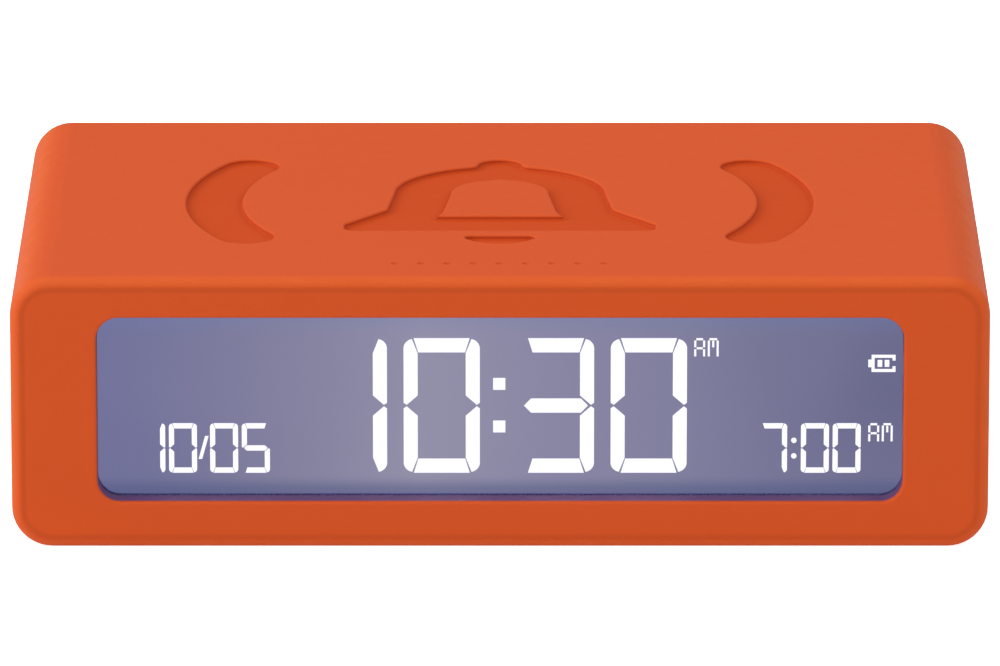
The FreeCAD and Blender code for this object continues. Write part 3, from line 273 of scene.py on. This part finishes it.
def painted_rim_shade(finish):
    """Painted shade: 1 along the line where the rounded edge meets the flat front or rear, 0 a little away
    from it.
    """
    beyond_x = finish.math("SUBTRACT", finish.off(finish.x, MIDDLE.x), HALF.x - RIM_CORNER - RIM_EDGE)
    beyond_z = finish.math("SUBTRACT", finish.off(finish.z, MIDDLE.z), HALF.z - RIM_CORNER - RIM_EDGE)
    far_x = finish.math("MAXIMUM", beyond_x, 0.0)
    far_z = finish.math("MAXIMUM", beyond_z, 0.0)
    squares = finish.math("ADD", finish.math("POWER", far_x, 2.0), finish.math("POWER", far_z, 2.0))
    corner = finish.math("SQRT", squares)
    inside = finish.math("MINIMUM", finish.math("MAXIMUM", beyond_x, beyond_z), 0.0)
    distance = finish.math("SUBTRACT", finish.math("ADD", corner, inside), RIM_CORNER)
    line = finish.step(finish.math("ABSOLUTE", distance), 0.05 * MM, RIM_SHADE_WIDTH, 1.0, 0.0)
    at_end = finish.step(finish.off(finish.y, MIDDLE.y), HALF.y - 0.6 * MM, HALF.y - 0.2 * MM)
    return finish.math("MULTIPLY", line, at_end)


def sunk(finish):
    """1 on the floors of the sunk signs, 0 on the rest of the sleeve."""
    up = finish.off(finish.z, MIDDLE.z)
    below_face = finish.step(up, HALF.z - SIGN_DEPTH, HALF.z - 0.45 * SIGN_DEPTH, 1.0, 0.0)
    above_skin = finish.step(up, HALF.z - 1.5 * SIGN_DEPTH, HALF.z - 1.3 * SIGN_DEPTH)
    inside_x = finish.math("LESS_THAN", finish.off(finish.x, MIDDLE.x), SIGN_HALF_X)
    inside_y = finish.math("LESS_THAN", finish.off(finish.y, MIDDLE.y), SIGN_HALF_Y)
    inside = finish.math("MULTIPLY", inside_x, inside_y)
    return finish.math("MULTIPLY", inside, finish.math("MULTIPLY", below_face, above_skin))


def moulded(name, colour, roughness=0.5, grain=0.2, depth=0.01, specular=0.4):
    """Injection-moulded plastic with a fine spark-eroded texture."""
    finish = Finish(name)
    worn = edge_wear(finish, 0.25)
    base = finish.mottled(colour, 0.05, 8)
    base = finish.blend(worn, base, paler(colour), 0.3)
    rough = finish.step(finish.noise(1.2, 3), 0.3, 0.7, roughness - 0.06, roughness + 0.06)
    rough = finish.math("SUBTRACT", rough, finish.math("MULTIPLY", worn, 0.1))
    texture = finish.bump(finish.cells(grain, "SMOOTH_F1"), depth)
    texture = finish.bump(finish.noise(5, 2), 0.004, texture)
    return finish.surface(Base_Color=base, Roughness=rough, Normal=texture, Specular_IOR_Level=specular)


def foam(name, colour):
    """Closed-cell foam."""
    finish = Finish(name)
    pores = finish.cells(0.18)
    base = finish.blend(pores, scaled(colour, 0.4), scaled(colour, 1.6))
    return finish.surface(Base_Color=base, Roughness=0.9, Normal=finish.bump(pores, 0.06))


# ---------------------------------------------------------------- display materials
COATED_SHARE = 0.0135           # the head-on reflection that a coating takes away
SIDE_WALL = 0.3                 # a face whose normal has less than this along Y is a side wall
GROUND_LIGHT = 1.31             # strength of the display's lit ground
WHITE_LIGHT = 1.16              # strength of its lit segments
# The ground has a bluer band of painted reflection along its top and a dimmer band of painted shade along
# its foot.
# Each is full up to the first distance from that edge, and gone at the second.
TOP_REFLECTION_BAND = (0.9 * MM, 3.0 * MM)
FOOT_SHADE_BAND = (0.8 * MM, 2.2 * MM)


def clear_shader(finish, tint, roughness, mirror_share=1.0):
    """Light passes straight through with a tint. Seen at a slant, the outside also reflects a little."""
    through = finish.add("BsdfTransparent", Color=tint).outputs[0]
    mirror = finish.add("BsdfGlossy", Color=(1, 1, 1, 1), Roughness=roughness).outputs[0]
    inside = finish.add("NewGeometry").outputs["Backfacing"]
    glancing = finish.math("SUBTRACT", finish.add("Fresnel", IOR=1.25).outputs[0], COATED_SHARE)
    share = finish.math("MULTIPLY", finish.math("MAXIMUM", glancing, 0.0), mirror_share)
    share = finish.math("MULTIPLY", share, finish.math("SUBTRACT", 1.0, inside))
    return finish.mix(share, through, mirror)


def window_plastic(name):
    """Clear moulded acrylic. Seen through it from inside, its side walls are painted dark violet as shade,
    standing in for the shaded walls of the opening behind.
    """
    finish = Finish(name)
    smear = finish.step(finish.noise(6, 4), 0.35, 0.75, 0.02, 0.06)
    clear = clear_shader(finish, (0.985, 0.985, 0.99, 1), smear)
    # Painted shade on the side walls: the dark violet band seen through the window's foot and sides.
    wall_shade_colour = finish.mottled(linear(101, 66, 111), 0.08, 5)
    wall_shade = finish.add("BsdfPrincipled", Base_Color=wall_shade_colour, Roughness=0.5,
                     Normal=finish.bump(finish.noise(0.3), 0.004)).outputs[0]
    geometry = finish.add("NewGeometry")
    facing = finish.add("SeparateXYZ", Vector=geometry.outputs["True Normal"]).outputs[1]
    side = finish.math("LESS_THAN", finish.math("ABSOLUTE", facing), SIDE_WALL)
    side = finish.math("MULTIPLY", side, geometry.outputs["Backfacing"])
    return finish.show(finish.mix(side, clear, wall_shade))


def clear_layer(name, tint):
    """A clear sheet or glass plate with faint streaks."""
    finish = Finish(name)
    streaks = finish.step(finish.noise(3, 3, (1, 1, 0.2)), 0.3, 0.8, 0.02, 0.06)
    colour = finish.mottled(tint, 0.004, 10)
    return finish.show(clear_shader(finish, colour, streaks, 0.15))


def display_field(name):
    """The softly lit ground of the display: greyer in the middle, bluer and dimmer towards its edges as
    painted shade, with a painted reflection along its top.
    """
    finish = Finish(name)
    low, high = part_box("lcd_rear_glass")
    across = finish.step(finish.x, low.x, high.x)
    ramp = finish.add("ValToRGB", Fac=across)
    # Dimmer, bluer left and right ends: painted shade.
    stops = ((0.0, linear(103, 104, 140)), (0.12, linear(119, 117, 143)), (0.36, linear(137, 134, 155)),
             (0.6, linear(127, 125, 149)), (0.8, linear(118, 117, 143)), (1.0, linear(97, 97, 128)))
    for place, colour in stops[2:]:
        ramp.color_ramp.elements.new(place)
    for element, (place, colour) in zip(ramp.color_ramp.elements, stops):
        element.position = place
        element.color = colour
    ground = finish.blend(finish.step(finish.noise(16, 1), 0.3, 0.7), ramp.outputs[0], linear(123, 122, 150))
    ground = finish.blend(0.25, ramp.outputs[0], ground)
    reflected_at_top = finish.step(finish.z, high.z - TOP_REFLECTION_BAND[1], high.z - TOP_REFLECTION_BAND[0])
    ground = finish.blend(reflected_at_top, ground, linear(98, 120, 165), 0.2)
    shaded_at_foot = finish.step(finish.z, low.z + FOOT_SHADE_BAND[0], low.z + FOOT_SHADE_BAND[1], 1.0, 0.0)
    ground = finish.blend(shaded_at_foot, ground, linear(76, 84, 122), 0.6)
    return finish.glowing(ground, GROUND_LIGHT)


def lit_white(name):
    """Segments that let the backlight through."""
    finish = Finish(name)
    colour = finish.blend(finish.noise(4, 2), (0.93, 0.93, 1.0, 1), (1.0, 1.0, 1.0, 1))
    return finish.glowing(colour, WHITE_LIGHT)


# ---------------------------------------------------------------- inner materials
def metal(name, colour, roughness, brushed=None, scratch=0.3):
    """Bare or plated metal with fine scratches along the brushed direction, and painted shade in its
    grooves.
    """
    finish = Finish(name)
    worn = edge_wear(finish, 0.15)
    base = finish.blend(worn, finish.mottled(colour, 0.03, 1.5), paler(colour), 0.4)
    # Painted shade in grooves and slots.
    base = finish.blend(groove_shade(finish, 0.5), base, scaled(colour, 0.15), 0.9)
    lines = finish.noise(scratch, 4, brushed)
    rough = finish.step(lines, 0.3, 0.7, roughness * 0.9, roughness * 1.15)
    return finish.surface(Base_Color=base, Metallic=1.0, Roughness=rough, Normal=finish.bump(lines, 0.004))


def circuit_board(name):
    """Green resist over copper tracks, with bare pads."""
    finish = Finish(name)
    bricks = finish.add("TexBrick", Vector=finish.add("Mapping", Vector=finish.place,
                        Rotation=(math.radians(90), 0, 0)).outputs[0], Scale=1.0, Mortar_Size=0.18 * MM,
                        Brick_Width=3.1 * MM, Row_Height=1.4 * MM, Mortar_Smooth=0.1)
    track = bricks.outputs["Fac"]
    resist = finish.blend(track, linear(18, 74, 42), linear(34, 112, 58))
    base = finish.blend(finish.step(finish.noise(4, 2), 0.66, 0.68), resist, linear(188, 150, 84))
    return finish.surface(Base_Color=base, Roughness=0.35, Normal=finish.bump(track, 0.03), Coat_Weight=0.3)


def striped(name, dark, light, pitch, axis, roughness=0.5):
    """Fine conductors side by side."""
    finish = Finish(name)
    lines = finish.bands(pitch, axis)
    edge = finish.step(lines, 0.4, 0.6)
    return finish.surface(Base_Color=finish.blend(edge, dark, light), Roughness=roughness,
                          Normal=finish.bump(edge, 0.02))


def insulation(name, colour):
    """Glossy wire covering."""
    finish = Finish(name)
    base = finish.mottled(colour, 0.1, 1.5)
    return finish.surface(Base_Color=base, Roughness=0.35, Normal=finish.bump(finish.noise(0.8), 0.02))


def pouch(name):
    """Creased aluminium pouch round the cell."""
    finish = Finish(name)
    creases = finish.noise(5, 5)
    base = finish.blend(creases, (0.42, 0.43, 0.45, 1), (0.62, 0.63, 0.66, 1))
    return finish.surface(Base_Color=base, Metallic=0.8, Roughness=0.42, Normal=finish.bump(creases, 0.15))


def paper(name):
    """Pressed paper fibres."""
    finish = Finish(name)
    fibres = finish.noise(0.4, 6, (1, 0.25, 1))
    base = finish.blend(fibres, (0.03, 0.028, 0.026, 1), (0.11, 0.1, 0.09, 1))
    return finish.surface(Base_Color=base, Roughness=0.95, Normal=finish.bump(fibres, 0.05))


def dotted_acrylic(name):
    """A clear plate printed with rows of white dots that throw light out of it."""
    finish = Finish(name)
    dots = finish.step(finish.cells(0.9), 0.2, 0.3, 1.0, 0.0)
    base = finish.blend(dots, (0.75, 0.8, 0.82, 1), (0.95, 0.95, 0.95, 1))
    return finish.surface(Base_Color=base, Roughness=0.15, Transmission_Weight=0.5,
                          Normal=finish.bump(dots, 0.01))


def ceramic(name):
    """Small board parts: brown and grey bodies."""
    finish = Finish(name)
    mixed = finish.step(finish.noise(2.4, 1), 0.48, 0.52)
    tone = finish.blend(mixed, linear(40, 36, 34), linear(150, 118, 84))
    return finish.surface(Base_Color=tone, Roughness=0.45, Normal=finish.bump(finish.noise(0.2), 0.01))


# ---------------------------------------------------------------- which node gets which
def dress():
    """Gives every node of the model its material."""
    black = moulded("black_plastic", (0.012, 0.012, 0.013, 1))
    white = moulded("white_plastic", (0.72, 0.72, 0.7, 1), 0.45)
    cream = moulded("cream_plastic", (0.62, 0.56, 0.42, 1), 0.4)
    chip = moulded("chip_resin", (0.01, 0.01, 0.011, 1), 0.35, 0.3, 0.02)
    film = moulded("white_film", (0.78, 0.78, 0.8, 1), 0.3, 0.1, 0.003)
    foam_black = foam("black_foam", (0.02, 0.02, 0.021, 1))
    green = circuit_board("circuit_board")
    screw = metal("screw_steel", (0.46, 0.46, 0.48, 1), 0.32, (1, 1, 0.15))
    plated = metal("plated_metal", (0.62, 0.6, 0.57, 1), 0.2, (1, 0.1, 1))
    copper = metal("copper_foil", (0.74, 0.33, 0.17, 1), 0.35, (0.2, 1, 1))
    black_wire = insulation("black_wire", (0.015, 0.015, 0.015, 1))
    glass = clear_layer("display_glass", (0.985, 0.985, 0.99, 1))
    keys = key_rubber()
    finishes = {
        "rubber_sleeve": sleeve_rubber(),
        "rear_cover": moulded("cover_plastic", scaled(ORANGE, 0.82), 0.55, 0.25, 0.02, 0.2),
        "rear_cover_screws": screw, "display_board_screws": screw, "rear_board_screws": screw,
        "display_window": window_plastic("window_clear"),
        "window_tape": foam_black, "dust_gasket": foam("violet_foam", linear(84, 84, 138)),
        "speaker_gasket": foam_black,
        "battery_pad": foam_black, "lcd_edge_seal": moulded("seal_resin", (0.05, 0.045, 0.06, 1), 0.3),
        "lcd_front_polariser": clear_layer("front_polariser_film", (0.98, 0.978, 0.985, 1)),
        "lcd_front_glass": glass,
        "lcd_segments": lit_white("lit_segments"),
        "lcd_rear_glass": display_field("display_ground"),
        "lcd_rear_polariser": clear_layer("rear_polariser_film", (0.35, 0.33, 0.42, 1)),
        "diffuser_sheet": film, "reflector_sheet": film,
        "light_guide": dotted_acrylic("light_guide_acrylic"),
        "backlight_leds": lit_white("led_phosphor"),
        "backlight_strip": striped("led_strip", (0.6, 0.58, 0.5, 1), (0.75, 0.42, 0.2, 1), 1.0, "Z"),
        "lcd_frame": white, "zebra_strips": striped("zebra_rubber", (0.02, 0.02, 0.02, 1),
                                                    (0.7, 0.66, 0.62, 1), 0.2, "Z", 0.8),
        "display_board": green, "rear_board": green,
        "ribbon_cable": striped("ribbon_film", (0.78, 0.76, 0.7, 1), (0.5, 0.5, 0.52, 1), 1.0, "X", 0.3),
        "display_board_parts": ceramic("small_parts"), "rear_board_parts": chip,
        "controller_blob": chip, "tact_switch_bases": chip, "usb_tongue": chip, "tilt_switch_plug": chip,
        "speaker_basket": metal("basket_steel", (0.3, 0.3, 0.31, 1), 0.4),
        "speaker_magnet": moulded("ferrite", (0.05, 0.05, 0.055, 1), 0.6, 0.4, 0.03),
        "speaker_cone": paper("paper_cone"),
        "ribbon_connectors": cream, "battery_plug": cream, "battery_socket": cream,
        "battery_cell": pouch("pouch_foil"),
        "battery_lead_red": insulation("red_wire", (0.55, 0.015, 0.012, 1)),
        "clock_crystal": plated, "usb_shell": plated, "tilt_switch_can": plated, "tilt_switch_pins": plated,
        "tilt_switch_ball": metal("ball_steel", (0.6, 0.6, 0.6, 1), 0.12),
        "touch_foil_upper": copper, "touch_foil_lower": copper,
    }
    for name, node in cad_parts.items():
        if name in finishes:
            finish = finishes[name]
        elif name.endswith("_button"):
            finish = keys
        elif name.endswith("_plunger"):
            finish = white
        elif "lead" in name:
            finish = black_wire
        else:
            finish = black
        node.data.materials.clear()
        node.data.materials.append(finish)


# ---------------------------------------------------------------- floor, light and camera
def aimed(thing, target):
    """Turns a light or a camera towards a point."""
    thing.rotation_euler = (target - thing.location).to_track_quat("-Z", "Y").to_euler()


def floor():
    """A wide, pale, nearly white light table, brightest under the clock."""
    finish = Finish("pale_floor")
    base = finish.mottled((0.82, 0.82, 0.82, 1), 0.01, 60)
    near_x = finish.step(finish.off(finish.x, MIDDLE.x), HALF.x, HALF.x + FLOOR_FADE, 1.0, 0.0)
    near_y = finish.step(finish.off(finish.y, MIDDLE.y), HALF.y, HALF.y + FLOOR_FADE, 1.0, 0.0)
    under = finish.step(finish.math("MULTIPLY", near_x, near_y), 0.0, 1.0, FLOOR_GLOW, UNDER_GLOW)
    seen = finish.add("LightPath").outputs["Is Camera Ray"]
    strength = finish.math("MAXIMUM", under, finish.math("MULTIPLY", seen, SEEN_GLOW))
    glow = finish.add("Emission", Color=(1, 1, 1, 1), Strength=strength).outputs[0]
    matte = finish.add("BsdfDiffuse", Color=base, Roughness=0.5).outputs[0]
    both = finish.add("AddShader")
    finish.put(both.inputs[0], glow)
    finish.put(both.inputs[1], matte)
    mesh = bpy.data.meshes.new("floor")
    corners = [(FLOOR_HALF * side_x, FLOOR_HALF * side_y, 0)
               for side_x, side_y in ((-1, -1), (1, -1), (1, 1), (-1, 1))]
    mesh.from_pydata(corners, [], [(0, 1, 2, 3)])
    plane = bpy.data.objects.new("floor", mesh)
    plane.location.z = LOW.z - FLOOR_DROP
    mesh.materials.append(finish.show(both.outputs[0]))
    bpy.context.scene.collection.objects.link(plane)


def sky():
    """White light from all round: brightest overhead, and dim low down behind the clock."""
    world = bpy.data.worlds.new("studio")
    bpy.context.scene.world = world
    world.use_nodes = True
    nodes = world.node_tree.nodes
    links = world.node_tree.links
    place = nodes.new("ShaderNodeTexCoord")
    direction = nodes.new("ShaderNodeSeparateXYZ")
    strength = nodes.new("ShaderNodeMath")
    strength.operation = "MULTIPLY"
    links.new(place.outputs["Generated"], direction.inputs[0])

    def change(axis, start, first, last, factor):
        """From first to last as the direction's part along an axis runs from start to 1."""
        level = nodes.new("ShaderNodeMapRange")
        links.new(direction.outputs[axis], level.inputs["Value"])
        for name, value in (("From Min", start), ("From Max", 1.0), ("To Min", first), ("To Max", last)):
            level.inputs[name].default_value = value
        links.new(level.outputs[0], strength.inputs[factor])

    change(2, 0.0, SKY_HORIZON, SKY_OVERHEAD, 0)
    change(1, 0.2, 1.0, SKY_BEHIND, 1)
    links.new(strength.outputs[0], nodes["Background"].inputs["Strength"])
    nodes["Background"].inputs["Color"].default_value = (1, 1, 1, 1)


def softbox(name, location, size, power):
    """A square area light aimed at the clock."""
    light = bpy.data.lights.new(name, "AREA")
    light.shape = "SQUARE"
    light.size = size
    light.energy = power
    lamp = bpy.data.objects.new(name, light)
    lamp.location = location
    bpy.context.scene.collection.objects.link(lamp)
    aimed(lamp, MIDDLE)


def camera():
    """A long lens in front of the display, looking slightly down."""
    lens = bpy.data.cameras.new("camera")
    lens.lens = CAMERA_LENS
    lens.clip_end = CAMERA_FAR
    eye = bpy.data.objects.new("camera", lens)
    back = Vector((0, -math.cos(CAMERA_ELEVATION), math.sin(CAMERA_ELEVATION)))
    eye.location = CAMERA_AIM + back * CAMERA_DISTANCE
    bpy.context.scene.collection.objects.link(eye)
    aimed(eye, CAMERA_AIM)
    bpy.context.scene.camera = eye


dress()
floor()
sky()
for name, (location, size, power) in SOFTBOXES.items():
    softbox(name, location, size, power)
camera()
bpy.context.scene.view_settings.view_transform = "Standard"
